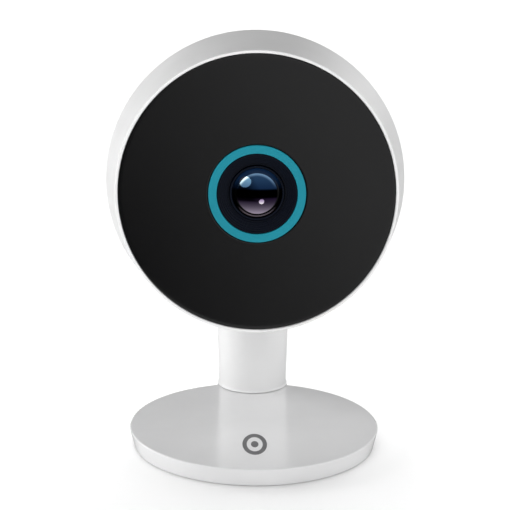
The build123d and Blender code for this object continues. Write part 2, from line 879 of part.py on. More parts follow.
# The inner glasses bulge both ways from a short cylindrical edge.
with BuildPart() as middle_glass:
    inner_radius = lens_bore_radius - nested_gap
    half_height = cap_height(inner_radius / 2, inner_radius, inner_glass_bulge)
    middle_glass_rear = middle_glass_front - inner_glass_edge
    with BuildSketch(SECTION):
        with BuildLine():
            Line(
                (0, middle_glass_rear - inner_glass_bulge),
                (0, middle_glass_front + inner_glass_bulge),
            )
            ThreePointArc(
                (0, middle_glass_front + inner_glass_bulge),
                (inner_radius / 2, middle_glass_front + half_height),
                (inner_radius, middle_glass_front),
            )
            Line((inner_radius, middle_glass_front), (inner_radius, middle_glass_rear))
            ThreePointArc(
                (inner_radius, middle_glass_rear),
                (inner_radius / 2, middle_glass_rear - half_height),
                (0, middle_glass_rear - inner_glass_bulge),
            )
        make_face()
    revolve(axis=HEAD_AXIS)
keep(middle_glass, "middle_glass")

with BuildPart() as rear_glass:
    add(middle_glass.part.moved(Location(forward * (rear_glass_front - middle_glass_front))))
keep(rear_glass, "rear_glass")

with BuildPart() as aperture_spacer:
    spacer_rear = rear_glass_front + 2 * nested_gap
    spacer_front = middle_glass_rear - 2 * nested_gap
    with BuildSketch(ahead(spacer_rear)):
        Circle(lens_bore_radius - nested_gap)
        Circle(aperture_radius, mode=Mode.SUBTRACT)
    extrude(amount=spacer_front - spacer_rear)
    with BuildSketch(ahead(spacer_rear)):
        Circle(lens_bore_radius - spacer_wall)
    extrude(amount=spacer_recess, mode=Mode.SUBTRACT)
    with BuildSketch(ahead(spacer_front)):
        Circle(lens_bore_radius - spacer_wall)
    extrude(amount=-spacer_recess, mode=Mode.SUBTRACT)
keep(aperture_spacer, "aperture_spacer")

# ---------------------------------------------------------------------------------------
# Lens holder, sliding filter and sensor
# ---------------------------------------------------------------------------------------

with BuildPart() as lens_holder:
    with BuildSketch(ahead(holder_rear)):
        RectangleRounded(holder_width, holder_height, 1.5)
    extrude(amount=holder_flange_thickness)
    with BuildSketch(ahead(holder_flange_front)):
        Circle(holder_tube_radius)
    extrude(amount=holder_front - holder_flange_front)
    with BuildSketch(ahead(holder_rear)):
        Circle(thread_radius + screw_fit)
    extrude(amount=holder_front - holder_rear, mode=Mode.SUBTRACT)
    with BuildSketch(ahead(holder_rear)):
        Rectangle(2 * slot_half, filter_height + 2 * filter_run)
        with Locations(*holder_screw_places):
            Circle(small_screw_radius + screw_fit)
    extrude(amount=holder_flange_thickness - filter_wall, mode=Mode.SUBTRACT)
keep(lens_holder, "lens_holder")

with BuildPart() as filter_frame:
    with BuildSketch(ahead(filter_front)):
        with Locations((filter_pitch / 2, 0)):
            Rectangle(filter_length, filter_height)
        with Locations((0, 0), (filter_pitch, 0)):
            Rectangle(filter_window, filter_window, mode=Mode.SUBTRACT)
    extrude(amount=-filter_thickness)
keep(filter_frame, "filter_frame")

with BuildPart() as cut_filter:
    with BuildSketch(ahead(filter_front)):
        Rectangle(filter_window, filter_window)
    extrude(amount=-filter_thickness)
keep(cut_filter, "cut_filter")

with BuildPart() as clear_filter:
    with BuildSketch(ahead(filter_front)):
        with Locations((filter_pitch, 0)):
            Rectangle(filter_window, filter_window)
    extrude(amount=-filter_thickness)
keep(clear_filter, "clear_filter")

with BuildPart() as filter_guide:
    with BuildSketch(ahead(guide_front)):
        Rectangle(2 * slot_half - 2 * nested_gap, filter_height + 2 * filter_run - 2 * nested_gap)
        Rectangle(*guide_opening, mode=Mode.SUBTRACT)
    extrude(amount=-guide_thickness)
keep(filter_guide, "filter_guide")

with BuildPart() as filter_coil:
    with BuildSketch(ahead(holder_flange_front)):
        with Locations(((holder_width - coil_size[0]) / 2 - coil_edge_gap, 0)):
            RectangleRounded(coil_size[0], coil_size[1], 0.5)
    extrude(amount=coil_size[2])
keep(filter_coil, "filter_coil")

with BuildPart() as image_sensor:
    with BuildSketch(ahead(holder_rear)):
        Rectangle(sensor_size[0], sensor_size[1])
    extrude(amount=sensor_size[2])
keep(image_sensor, "image_sensor")

with BuildPart() as sensor_board:
    with BuildSketch(ahead(holder_rear)):
        RectangleRounded(sensor_board_size[0], sensor_board_size[1], 1.0)
        with Locations(*sensor_post_places, *holder_screw_places):
            Circle(small_screw_radius + screw_pass, mode=Mode.SUBTRACT)
    extrude(amount=-sensor_board_size[2])
keep(sensor_board, "sensor_board")

with BuildPart() as sensor_ribbon:
    with BuildSketch(ahead(sensor_board_rear)):
        with Locations((0, ribbon_up)):
            Rectangle(*ribbon_size)
    extrude(amount=board_front - sensor_board_rear)
keep(sensor_ribbon, "sensor_ribbon")

# ---------------------------------------------------------------------------------------
# Carrier and infrared lamps
# ---------------------------------------------------------------------------------------

with BuildPart() as carrier:
    with BuildSketch(ahead(carrier_rear)):
        Circle(carrier_radius)
        with PolarLocations(lug_circle, lug_count, start_angle=90):
            Circle(lug_radius)
            with Locations((-lug_radius, 0)):
                Rectangle(2 * lug_radius, 2 * lug_radius)
        with PolarLocations(lug_circle, lug_count, start_angle=90):
            Circle(small_screw_radius + screw_pass, mode=Mode.SUBTRACT)
        Circle(holder_tube_radius + 0.4, mode=Mode.SUBTRACT)
        with Locations(*wire_places):
            Circle(wire_radius + screw_pass, mode=Mode.SUBTRACT)
    extrude(amount=carrier_thickness)
    with BuildSketch(ahead(carrier_rear)):
        with Locations(*sensor_post_places):
            Circle(sensor_post_radius)
    extrude(amount=holder_rear - carrier_rear)
    with BuildSketch(ahead(holder_rear)):
        with Locations(*sensor_post_places):
            Circle(small_screw_radius + screw_fit)
    extrude(amount=small_hole_depth + 1, mode=Mode.SUBTRACT)
keep(carrier, "carrier")

with BuildPart() as lamp_board:
    with BuildSketch(ahead(carrier_front)):
        Circle(lamp_board_outer)
        Circle(lamp_board_inner, mode=Mode.SUBTRACT)
    extrude(amount=lamp_board_thickness)
keep(lamp_board, "lamp_board")

with BuildPart() as lamps:
    with BuildSketch(ahead(lamp_board_front)):
        with PolarLocations(lamp_circle, lamp_count):
            Rectangle(lamp_size, lamp_size)
    extrude(amount=lamp_height)
    with BuildSketch(ahead(lamp_board_front + lamp_height)):
        with PolarLocations(lamp_circle, lamp_count):
            Circle(lamp_dome_radius)
    extrude(amount=lamp_dome_radius / 2)
    domes = lamps.faces().filter_by(HEAD).sort_by(HEAD_AXIS)[-lamp_count:]
    fillet(domes.edges(), lamp_dome_radius * 0.45)
keep(lamps, "lamps")

with BuildPart() as light_seal:
    with BuildSketch(ahead(lamp_board_front)):
        Circle(seal_outer)
        Circle(seal_inner, mode=Mode.SUBTRACT)
    extrude(amount=-bezel_flange_thickness - lamp_board_front)
keep(light_seal, "light_seal")

with BuildPart() as lamp_wires:
    with BuildSketch(ahead(carrier_front)):
        with Locations(*wire_places):
            Circle(wire_radius)
    extrude(amount=board_front - carrier_front)
keep(lamp_wires, "lamp_wires")

with BuildPart() as small_screws:
    with BuildSketch(ahead(carrier_rear)):
        with PolarLocations(lug_circle, lug_count, start_angle=90):
            Circle(small_head_radius)
    with BuildSketch(ahead(sensor_board_rear)):
        with Locations(*sensor_post_places, *holder_screw_places):
            Circle(small_head_radius)
    extrude(amount=-small_head_height)
    with BuildSketch(ahead(carrier_rear)):
        with PolarLocations(lug_circle, lug_count, start_angle=90):
            Circle(small_screw_radius)
    with BuildSketch(ahead(sensor_board_rear)):
        with Locations(*sensor_post_places, *holder_screw_places):
            Circle(small_screw_radius)
    extrude(amount=small_screw_length)
keep(small_screws, "small_screws")

# ---------------------------------------------------------------------------------------
# Main board
# ---------------------------------------------------------------------------------------

with BuildPart() as main_board:
    with BuildSketch(ahead(board_rear)):
        Circle(board_radius)
        with PolarLocations(boss_circle, boss_count, start_angle=45):
            Circle(cover_screw_radius + screw_pass, mode=Mode.SUBTRACT)
    extrude(amount=board_thickness)
keep(main_board, "main_board")

with BuildPart() as main_chip:
    with BuildSketch(ahead(board_front)):
        with Locations(chip_at):
            Rectangle(chip_size[0], chip_size[1])
    extrude(amount=chip_size[2])
keep(main_chip, "main_chip")

with BuildPart() as thermal_pad:
    with BuildSketch(ahead(board_front + chip_size[2])):
        with Locations(chip_at):
            Rectangle(thermal_pad_size[0], thermal_pad_size[1])
    extrude(amount=thermal_pad_size[2])
keep(thermal_pad, "thermal_pad")

with BuildPart() as heat_spreader:
    with BuildSketch(ahead(board_front + chip_size[2] + thermal_pad_size[2])):
        with Locations(chip_at):
            RectangleRounded(spreader_size[0], spreader_size[1], 2.0)
    extrude(amount=spreader_size[2])
keep(heat_spreader, "heat_spreader")

with BuildPart() as usb_socket:
    usb_mouth = dome_outside(usb_at[1]) + usb_recess
    with BuildSketch(ahead(board_rear)):
        with Locations(usb_at):
            RectangleRounded(usb_size[0], usb_size[1], 0.6)
    extrude(amount=usb_mouth - board_rear)
    with BuildSketch(ahead(usb_mouth)):
        with Locations(usb_at):
            RectangleRounded(usb_size[0] - 2 * usb_wall, usb_size[1] - 2 * usb_wall, 0.4)
    extrude(amount=board_rear - usb_mouth - usb_base, mode=Mode.SUBTRACT)
keep(usb_socket, "usb_socket")

with BuildPart() as usb_tongue:
    with BuildSketch(ahead(board_rear - usb_base)):
        with Locations(usb_at):
            Rectangle(*tongue_size)
    extrude(amount=usb_mouth - board_rear + usb_base + 1.0)
keep(usb_tongue, "usb_tongue")

with BuildPart() as card_socket:
    with BuildSketch(card_plane.offset(-card_mouth)):
        Rectangle(card_socket_size[0], card_socket_size[2])
    extrude(amount=-card_socket_size[1])
    with BuildSketch(card_plane.offset(-card_mouth)):
        Rectangle(
            card_socket_size[0] - 2 * card_socket_wall - 1.0,
            card_socket_size[2] - 2 * card_socket_wall,
        )
    extrude(amount=-card_socket_size[1] + 1.0, mode=Mode.SUBTRACT)
keep(card_socket, "card_socket")

with BuildPart() as wifi_antenna:
    with BuildSketch(ahead(board_front)):
        with Locations((0, antenna_up)):
            Rectangle(antenna_size[0], antenna_size[1])
    extrude(amount=antenna_size[2])
keep(wifi_antenna, "wifi_antenna")

with BuildPart() as speaker:
    with BuildSketch(ahead(board_rear)):
        with Locations(speaker_at):
            Circle(speaker_radius)
    extrude(amount=-speaker_thickness)
    fillet(speaker.faces().sort_by(HEAD_AXIS)[0].edges(), 0.6)
keep(speaker, "speaker")

with BuildPart() as reset_switch:
    with BuildSketch(ahead(board_rear)):
        with Locations(button_at):
            Rectangle(switch_size, switch_size)
    extrude(amount=-switch_height)
    with BuildSketch(ahead(board_rear - switch_height)):
        with Locations(button_at):
            Circle(plunger_radius + plunger_run)
    extrude(amount=switch_height - 1.0, mode=Mode.SUBTRACT)
keep(reset_switch, "reset_switch")

plunger_end = board_rear - switch_height - plunger_stand

with BuildPart() as switch_plunger:
    with BuildSketch(ahead(plunger_end)):
        with Locations(button_at):
            Circle(plunger_radius)
    extrude(amount=plunger_length)
keep(switch_plunger, "switch_plunger")

with BuildPart() as reset_button:
    button_outside = dome_outside(math.hypot(*button_at)) - button_proud
    flange_rear = button_pad_face + nested_gap
    with BuildSketch(ahead(button_outside)):
        with Locations(button_at):
            Circle(button_radius)
    extrude(amount=flange_rear - button_outside)
    fillet(reset_button.faces().sort_by(HEAD_AXIS)[0].edges(), 0.3)
    with BuildSketch(ahead(flange_rear)):
        with Locations(button_at):
            Circle(button_flange_radius)
    extrude(amount=button_flange_thickness)
    with BuildSketch(ahead(plunger_end)):
        with Locations(button_at):
            Circle(button_stem_radius)
    extrude(amount=flange_rear - plunger_end)
keep(reset_button, "reset_button")

# ---------------------------------------------------------------------------------------
# Files
# ---------------------------------------------------------------------------------------

os.makedirs("parts", exist_ok=True)
for piece in finished:
    export_step(piece, "parts/" + piece.label + ".step")
    print(piece.label, len(piece.solids()), round(piece.volume, 1))
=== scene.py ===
# %% [markdown]
# # A tabletop security camera
# The object is a round camera head on a post that stands on the rear edge of a thin disc.
# The shapes that carry load or move were designed as solid parts, and they arrive here as a
# fixed frame in metres. Blender's job is the looks: finer surfaces where light would show a
# facet, a finish for every piece, and a studio to see them in.

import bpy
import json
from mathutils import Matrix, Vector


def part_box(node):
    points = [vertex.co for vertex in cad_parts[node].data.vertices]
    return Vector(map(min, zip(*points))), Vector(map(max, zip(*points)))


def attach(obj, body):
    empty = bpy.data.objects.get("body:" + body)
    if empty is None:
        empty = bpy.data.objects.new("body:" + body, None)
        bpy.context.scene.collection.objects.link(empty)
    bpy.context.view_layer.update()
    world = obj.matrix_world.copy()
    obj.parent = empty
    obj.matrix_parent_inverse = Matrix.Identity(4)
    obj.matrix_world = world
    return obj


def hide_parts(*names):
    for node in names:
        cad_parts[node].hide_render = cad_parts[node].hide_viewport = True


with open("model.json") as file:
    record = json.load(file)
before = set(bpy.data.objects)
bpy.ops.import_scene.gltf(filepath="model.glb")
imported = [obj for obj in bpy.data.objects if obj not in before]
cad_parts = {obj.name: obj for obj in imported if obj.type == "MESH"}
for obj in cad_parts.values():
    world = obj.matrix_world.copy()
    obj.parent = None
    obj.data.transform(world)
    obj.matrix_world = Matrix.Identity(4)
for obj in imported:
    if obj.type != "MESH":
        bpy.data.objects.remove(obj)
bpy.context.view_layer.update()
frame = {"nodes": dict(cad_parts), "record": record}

# %% [markdown]
# ## A place to work: the head's own axis
# The head is tipped up a little, so nothing on it lines up with X, Y and Z. Turned pieces are
# much easier to describe on their own axis: a radius, and a distance in front of the rim. The
# reset button slides straight along that axis, so its joint says which way the head faces.

# %% Measure the head's axis
import json
import math

import bpy
from mathutils import Matrix, Quaternion, Vector

MM = 0.001
joints = {joint["name"]: joint for joint in frame["record"]["behaviour"]["joints"]}
facing = Vector(joints["reset_press"]["axis"]).normalized()
sideways = Vector((1, 0, 0))
up_the_face = facing.cross(sideways)


def middle_of(node):
    """The centre of a part's box."""
    low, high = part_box(node)
    return (low + high) / 2


def reach_along(node, direction):
    """How far a part reaches, least and most, along a direction."""
    spans = [vertex.co.dot(direction) for vertex in frame["nodes"][node].data.vertices]
    return min(spans), max(spans)


rim_front = reach_along("head_shell", facing)[1]
ring_middle = middle_of("accent_ring")
rim_centre = ring_middle + facing * (rim_front - ring_middle.dot(facing))
HEAD = Matrix((sideways, up_the_face, facing)).transposed().to_4x4()
HEAD.translation = rim_centre
print("rim centre:", [round(v / MM, 2) for v in rim_centre], "facing:", [round(v, 3) for v in facing])


def ahead_of_rim(node):
    """The rear and front of a part on the head, in millimetres in front of the rim."""
    rear, front = reach_along(node, facing)
    return (rear - rim_front) / MM, (front - rim_front) / MM


def radius_of(node):
    """The outer radius of a round part on the head, in millimetres."""
    low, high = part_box(node)
    return (high.x - low.x) / 2 / MM


# %% [markdown]
# ## Turning a piece
# A lathe makes a round piece from one outline. In Blender that is a ring of points for each
# point of the outline, joined with four-sided faces. A primitive cylinder would leave knife
# edges, and a knife edge never catches light, so the outline carries the small roundings that
# a moulded or machined piece has. 192 steps round keep the silhouette free of corners.

# %% A lathe
import bmesh

STEPS_ROUND = 192
SHARP_ANGLE = math.radians(28)
ON_AXIS = 1e-6  # a radius under this is one point on the axis


def ring_of_points(lathe, radius, ahead):
    """One turn of an outline's point, or one shared point where the outline meets the axis."""
    if radius < ON_AXIS:
        return [lathe.verts.new((0, 0, ahead * MM))] * STEPS_ROUND
    ring = []
    for step in range(STEPS_ROUND):
        turned = 2 * math.pi * step / STEPS_ROUND
        across, up = radius * MM * math.cos(turned), radius * MM * math.sin(turned)
        ring.append(lathe.verts.new((across, up, ahead * MM)))
    return ring


def turn(name, outline, finish):
    """Turns a closed outline of (radius, distance ahead), in millimetres, about the head's axis."""
    lathe = bmesh.new()
    rings = [ring_of_points(lathe, radius, ahead) for radius, ahead in outline]
    for first, second in zip(rings, rings[1:] + rings[:1]):
        for step in range(STEPS_ROUND):
            onward = (step + 1) % STEPS_ROUND
            corners = [first[step], first[onward], second[onward], second[step]]
            corners = list(dict.fromkeys(corners))
            if len(corners) > 2:
                lathe.faces.new(corners)
    bmesh.ops.recalc_face_normals(lathe, faces=lathe.faces)
    mesh = bpy.data.meshes.new(name)
    lathe.to_mesh(mesh)
    lathe.free()
    mesh.shade_smooth()
    mesh.set_sharp_from_angle(angle=SHARP_ANGLE)
    mesh.materials.append(finish)
    piece = bpy.data.objects.new(name, mesh)
    bpy.context.scene.collection.objects.link(piece)
    piece.matrix_world = HEAD
    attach(piece, "head")
    print(name, "faces:", len(mesh.polygons))
    return piece


# %% [markdown]
# ### Curves for an outline
# An outline is a list of points, and its round stretches come from two formulas: an arc for the
# rounding of an edge, and a shallow dome for the face and the lens. A dome is described by its
# edge and by how far its middle stands out, which is what a maker would measure.

# %% Arcs and domes
def arc(centre, radius, start, end, count):
    """Points on an arc, in an outline. Angles are in degrees, from the radius direction."""
    points = []
    for step in range(count + 1):
        angle = math.radians(start + (end - start) * step / count)
        points.append((centre[0] + radius * math.cos(angle), centre[1] + radius * math.sin(angle)))
    return points


def dome(edge_radius, edge_ahead, crown, inner_radius=0.0, count=24):
    """Points on a shallow dome, from its edge to an inner radius."""
    curve = (edge_radius**2 + crown**2) / (2 * crown)
    points = []
    for step in range(count + 1):
        radius = edge_radius + (inner_radius - edge_radius) * step / count
        points.append((radius, edge_ahead + crown - curve + math.sqrt(curve**2 - radius**2)))
    return points


# %% [markdown]
# ## Finishes
# Every finish is a small network of nodes: one Principled shader, and noise that moves its
# colour, roughness and bump a little. Real moulded plastic is never one flat value: the mould
# leaves a grain of about a fifth of a millimetre, and handling leaves the gloss uneven.
# Object coordinates are in metres here, so a noise scale of 5000 is a grain of 0.2 mm.

# %% Nodes that every finish needs
def new_finish(name):
    """An empty material with its Principled shader."""
    finish = bpy.data.materials.new(name)
    finish.use_nodes = True
    return finish, finish.node_tree, finish.node_tree.nodes["Principled BSDF"]


def add_node(tree, kind, **settings):
    """Adds a node and sets its named inputs or its properties."""
    node = tree.nodes.new(kind)
    for key, value in settings.items():
        if key in node.inputs:
            node.inputs[key].default_value = value
        else:
            setattr(node, key, value)
    return node


def spread(tree, source, low, high, start=0.0, end=1.0, smooth=True):
    """Maps a value from low..high to start..end, held at both ends."""
    node = add_node(tree, "ShaderNodeMapRange")
    node.interpolation_type = "SMOOTHSTEP" if smooth else "LINEAR"
    for label, value in zip(("From Min", "From Max", "To Min", "To Max"), (low, high, start, end)):
        node.inputs[label].default_value = value
    tree.links.new(source, node.inputs["Value"])
    return node.outputs["Result"]


NOISE_LOW, NOISE_HIGH = 0.3, 0.7  # nearly all of a noise lies between these


def mottled(tree, scale, low, high):
    """A noise whose values are spread between low and high; returns the output socket."""
    place = add_node(tree, "ShaderNodeTexCoord")
    noise = add_node(tree, "ShaderNodeTexNoise", Scale=scale, Detail=2.0)
    tree.links.new(place.outputs["Object"], noise.inputs["Vector"])
    return spread(tree, noise.outputs["Fac"], NOISE_LOW, NOISE_HIGH, low, high, smooth=False)


# %% [markdown]
# ### Two families of finish
# Moulded plastic and metal cover nearly every piece here. Both could be picked from a library of
# ready materials, but a function keeps them alike: each white differs from the next only in the
# numbers it is called with. The drift of colour and of gloss is wide, 5 to 20 mm, and the grain
# is fine, so a piece looks even from afar and made of something from near.

# %% Moulded plastic and drawn metal
TONE_SCALE = 60
GLOSS_SCALE = 220
METAL_GLOSS_SCALE = 400
LINES_SCALE = 6.0
LINES_STRENGTH = 0.6


def add_grain(tree, shader, size_mm, depth_mm):
    """A fine bump of the given grain size and depth."""
    bump = add_node(tree, "ShaderNodeBump", Strength=1.0, Distance=depth_mm * MM)
    tree.links.new(mottled(tree, 1 / (size_mm * MM), 0.0, 1.0), bump.inputs["Height"])
    tree.links.new(bump.outputs["Normal"], shader.inputs["Normal"])


def moulded(name, colour, gloss=(0.32, 0.42), grain=(0.25, 0.004), tone=0.02, shine=0.5):
    """Moulded plastic or rubber: a colour that drifts by tone, uneven gloss and a fine grain."""
    finish, tree, shader = new_finish(name)
    blend = add_node(tree, "ShaderNodeMix", data_type="RGBA")
    blend.inputs["A"].default_value = (*[v * (1 - tone) for v in colour], 1)
    blend.inputs["B"].default_value = (*[min(1.0, v * (1 + tone)) for v in colour], 1)
    tree.links.new(mottled(tree, TONE_SCALE, 0, 1), blend.inputs["Factor"])
    tree.links.new(blend.outputs["Result"], shader.inputs["Base Color"])
    tree.links.new(mottled(tree, GLOSS_SCALE, *gloss), shader.inputs["Roughness"])
    shader.inputs["Specular IOR Level"].default_value = shine
    add_grain(tree, shader, *grain)
    return finish


def metal(name, colour, gloss=(0.22, 0.38), brushed=(900, 900, 40), depth_mm=0.002):
    """Metal with fine drawn lines: noise squeezed along one direction."""
    finish, tree, shader = new_finish(name)
    shader.inputs["Base Color"].default_value = (*colour, 1)
    shader.inputs["Metallic"].default_value = 1.0
    place = add_node(tree, "ShaderNodeTexCoord")
    squeeze = add_node(tree, "ShaderNodeMapping", Scale=brushed)
    lines = add_node(tree, "ShaderNodeTexNoise", Scale=LINES_SCALE, Detail=3.0)
    bump = add_node(tree, "ShaderNodeBump", Strength=LINES_STRENGTH, Distance=depth_mm * MM)
    tree.links.new(place.outputs["Object"], squeeze.inputs["Vector"])
    tree.links.new(squeeze.outputs["Vector"], lines.inputs["Vector"])
    tree.links.new(lines.outputs["Fac"], bump.inputs["Height"])
    tree.links.new(bump.outputs["Normal"], shader.inputs["Normal"])
    tree.links.new(mottled(tree, METAL_GLOSS_SCALE, *gloss), shader.inputs["Roughness"])
    return finish


# %% [markdown]
# ### White mouldings
# The shell, the cover and the post are the same white resin with a satin skin. The base disc
# is polished a little more, which is why the post shows in it as a soft pale streak. A white of
# 0.8 to 0.86 is as bright as real plastic gets: a pure 1.0 would glow and lose its shading.

# %% White and grey plastics
shell_white = moulded("shell_white", (0.86, 0.86, 0.86), gloss=(0.36, 0.44), grain=(0.22, 0.0018))
base_white = moulded("base_white", (0.80, 0.80, 0.805), gloss=(0.17, 0.24), grain=(0.3, 0.0006))
badge_grey = moulded("badge_grey", (0.125, 0.125, 0.13), gloss=(0.45, 0.55), grain=(0.12, 0.004))
button_grey = moulded("button_grey", (0.45, 0.45, 0.46), gloss=(0.4, 0.5))
pad_rubber = moulded("pad_rubber", (0.03, 0.03, 0.03), gloss=(0.7, 0.85), grain=(0.4, 0.02), tone=0.2)
light_finishes = (shell_white, base_white, badge_grey, button_grey)
print("light finishes:", [finish.name for finish in light_finishes], "and", pad_rubber.name)

# %% [markdown]
# ### Black face, teal ring and black lens parts
# The face is a window for infrared light, moulded in a nearly black resin and polished. What is
# seen in it is the room, so it only needs a very low colour, a low roughness and a hint of
# waviness from the moulding. The ring is a satin teal moulding. The parts round the lens swallow
# light, so their colour is lower still and they mirror less than plain plastic does.

# %% Dark and coloured plastics
face_black = moulded(
    "face_black", (0.0042, 0.0042, 0.0045), gloss=(0.13, 0.18), grain=(6.0, 0.0025), tone=0.08
)
ring_teal = moulded("ring_teal", (0.007, 0.250, 0.330), gloss=(0.42, 0.50), grain=(0.15, 0.003), shine=0.25)
lens_black = moulded(
    "lens_black", (0.0025, 0.0045, 0.011), gloss=(0.3, 0.4), grain=(0.1, 0.003), tone=0.1, shine=0.15
)
soft_black = moulded("soft_black", (0.015, 0.015, 0.016), gloss=(0.5, 0.62), tone=0.1)
print("dark finishes:", face_black.name, ring_teal.name, lens_black.name, soft_black.name)

# %% [markdown]
# ### Metals, boards and the rest of the inside
# Most of these pieces only show through a slot, a socket or a gap, but each one still gets the
# finish of its material, because the same parts are looked at one by one elsewhere. A metal is
# told from a plastic by its coloured mirror image, and by the lines that drawing or rolling left.

# %% Metals
steel = metal("steel", (0.56, 0.56, 0.58))
dark_steel = metal("dark_steel", (0.10, 0.10, 0.105), gloss=(0.3, 0.45))
brass = metal("brass", (0.72, 0.52, 0.25))
aluminium = metal("aluminium", (0.80, 0.81, 0.82), gloss=(0.3, 0.4))
tin = metal("tin", (0.72, 0.72, 0.74), gloss=(0.15, 0.25), depth_mm=0.001)
copper = metal("copper", (0.72, 0.33, 0.18), brushed=(40, 3000, 3000), depth_mm=0.03)
anodised = metal("anodised", (0.02, 0.02, 0.022), gloss=(0.3, 0.4), depth_mm=0.001)
print("metals:", [finish.name for finish in (steel, dark_steel, brass, aluminium, tin, copper, anodised)])

# %% Boards, foam and small things
board_green = moulded("board_green", (0.010, 0.085, 0.035), gloss=(0.25, 0.35), grain=(0.8, 0.02), tone=0.25)
chip_black = moulded("chip_black", (0.02, 0.02, 0.021), gloss=(0.55, 0.65), grain=(0.15, 0.006))
foam_black = moulded("foam_black", (0.02, 0.02, 0.02), gloss=(0.85, 0.95), grain=(0.35, 0.08), tone=0.3)
tape_grey = moulded("tape_grey", (0.05, 0.05, 0.05), gloss=(0.7, 0.8), grain=(0.3, 0.02))
gap_blue = moulded("gap_blue", (0.18, 0.35, 0.60), gloss=(0.6, 0.7), grain=(0.5, 0.02))
flex_amber = moulded("flex_amber", (0.55, 0.26, 0.05), gloss=(0.2, 0.3), grain=(0.8, 0.01), tone=0.15)
wire_red = moulded("wire_red", (0.45, 0.02, 0.02), gloss=(0.35, 0.45))
lamp_resin = moulded("lamp_resin", (0.06, 0.05, 0.08), gloss=(0.06, 0.1), grain=(1.0, 0.001))
speaker_cloth = moulded("speaker_cloth", (0.02, 0.02, 0.02), gloss=(0.8, 0.9), grain=(0.35, 0.15), tone=0.4)
print("speaker and lamps:", speaker_cloth.name, lamp_resin.name)

# %% [markdown]
# ### Clear pieces
# The inner lenses and the two filters are glass: light goes through and bends. That is the
# shader's transmission, with the index of ordinary glass. The filter that holds back infrared is
# tinted, because it takes away the red end of what is visible too.

# %% Clear glass
GLASS_INDEX = 1.5
GLASS_ROUGHNESS = (0.03, 0.06)
GLASS_SCALE = 300


def clear(name, colour):
    """Clear glass or resin with a faint tint and a trace of unevenness."""
    finish, tree, shader = new_finish(name)
    shader.inputs["Base Color"].default_value = (*colour, 1)
    shader.inputs["Transmission Weight"].default_value = 1.0
    shader.inputs["IOR"].default_value = GLASS_INDEX
    tree.links.new(mottled(tree, GLASS_SCALE, *GLASS_ROUGHNESS), shader.inputs["Roughness"])
    return finish


clear_glass = clear("clear_glass", (0.93, 0.96, 0.98))
cut_glass = clear("cut_glass", (0.35, 0.72, 0.68))
sensor_glass = moulded("sensor_glass", (0.05, 0.04, 0.09), gloss=(0.05, 0.1), grain=(1.0, 0.0005), tone=0.3)
print("clear finishes:", clear_glass.name, cut_glass.name)

# %% [markdown]
# ## Give each carried-over part its finish
# The record says which material each part is made of. Here that name is turned into the finish
# that shows it, and the part's material slots are filled with it. A table is enough: a piece that
# needs something of its own, such as the speaker behind its slots, is set after it.

# %% Finishes for the parts
finish_of_slot = {
    "white_shell": shell_white,
    "white_base": base_white,
    "grey_print": badge_grey,
    "steel_plate": steel,
    "steel_screw": steel,
    "black_screw": dark_steel,
    "rubber_pad": pad_rubber,
    "bush": brass,
    "black_gloss": face_black,
    "black_matte": soft_black,
    "teal": ring_teal,
    "black_metal": anodised,
    "lens_glass": clear_glass,
    "filter_red": cut_glass,
    "filter_clear": clear_glass,
    "tape": tape_grey,
    "foam": foam_black,
    "board_green": board_green,
    "chip": chip_black,
    "sensor_top": sensor_glass,
    "thermal": gap_blue,
    "alu": aluminium,
    "can": tin,
    "copper": copper,
    "lamp": lamp_resin,
    "ribbon": flex_amber,
    "wire": wire_red,
    "button_grey": button_grey,
    "antenna": board_green,
    "pin_steel": steel,
}
slot_of_node = {row["node"]: row["material_slot"] for row in frame["record"]["subparts"]}
for node, part in frame["nodes"].items():
    finish = finish_of_slot[slot_of_node[node]]
    for position in range(len(part.data.materials)):
        part.data.materials[position] = finish
frame["nodes"]["speaker"].data.materials[0] = speaker_cloth
print("finished parts:", len(frame["nodes"]))

# %% [markdown]
# ## The face
# The face is a very shallow dome. Its reflections bend with the smallest change of slope, so it
# is turned afresh with many rings instead of using the part's triangles, and its two edges are
# rounded as a moulding's are.

# %% Turn the face
PANEL_CROWN = 2.3
PANEL_THICKNESS = 1.6
PANEL_RINGS = 40
PANEL_EDGE_AHEAD = -0.1
EDGE_ROUND = 0.3
EDGE_MIDWAY = 0.09  # the middle of that rounding stands this far in from both sides
LAND_WIDTH = 2.4  # the flat at the back that the tape holds
HOLE_LAND = 3.0
RING_GAP = 0.12
panel_edge = radius_of("face_panel")
panel_hole = radius_of("accent_ring") + RING_GAP
panel_rear = PANEL_EDGE_AHEAD - PANEL_THICKNESS
outer_dome = dome(panel_edge, PANEL_EDGE_AHEAD, PANEL_CROWN, panel_hole, PANEL_RINGS)
hole_round = (panel_hole + EDGE_ROUND, outer_dome[-1][1] - EDGE_ROUND)
outline = [(panel_edge, PANEL_EDGE_AHEAD - EDGE_ROUND)]
outline += [(panel_edge - EDGE_MIDWAY, PANEL_EDGE_AHEAD - EDGE_MIDWAY)]
outline += [point for point in outer_dome if hole_round[0] < point[0] < panel_edge - EDGE_ROUND]
outline += arc(hole_round, EDGE_ROUND, 90, 180, 4)
outline += [(panel_hole, 0.0), (panel_hole + HOLE_LAND, 0.0)]
outline += [(panel_edge - LAND_WIDTH, panel_rear), (panel_edge, panel_rear)]
face = turn("face_disc", outline, face_black)
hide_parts("face_panel")

# %% [markdown]
# ## The coloured ring
# A flat ring of teal plastic is let into the face round the lens. It could be painted on the face,
# but on the real one it is a separate moulding, and its two rounded edges each catch a thin line
# of light that a painted ring would not have.

